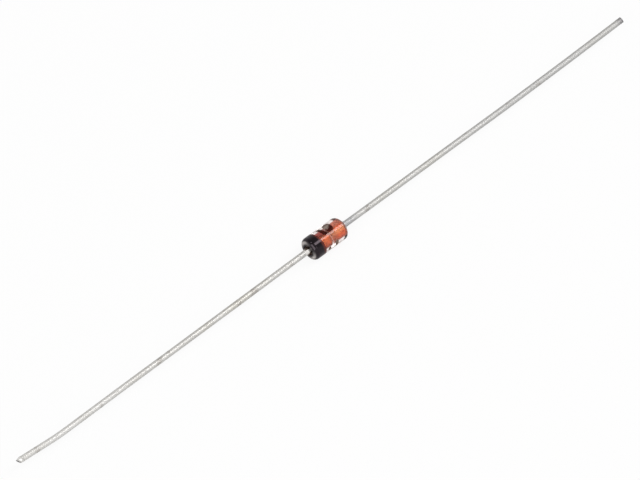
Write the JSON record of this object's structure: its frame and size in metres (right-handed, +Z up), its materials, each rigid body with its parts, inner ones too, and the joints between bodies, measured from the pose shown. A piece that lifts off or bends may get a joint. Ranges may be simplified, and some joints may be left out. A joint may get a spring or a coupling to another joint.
{
  "type": "zener diode",
  "caption": "Axial glass zener diode: clear glass sleeve with a black cathode band, orange-red metal plugs holding a silicon chip, and long straight tinned wire leads.",
  "frame": {"origin": "on the surface that the diode lies on, under the middle of the glass body", "axes": "+X along the body from the banded cathode end to the anode end, +Y to the side that both lead tips turn to, +Z up"},
  "size_m": [0.0664, 0.002, 0.002],
  "materials": {
    "sleeve_glass": "clear, fire-polished ends",
    "band_paint": "glossy black paint",
    "plug_oxide": "copper-clad nickel iron with an orange-red oxide skin",
    "silicon": "sawn silicon",
    "silver": "dull plated silver",
    "tinned_wire": "bright tin coat, slightly uneven"
  },
  "bodies": {
    "root": {"glass_sleeve": "sleeve_glass", "cathode_band": "band_paint", "cathode_plug": "plug_oxide", "anode_plug": "plug_oxide", "silicon_die": "silicon", "contact_bump": "silver", "cathode_lead": "tinned_wire", "anode_lead": "tinned_wire"}
  },
  "joints": []
}
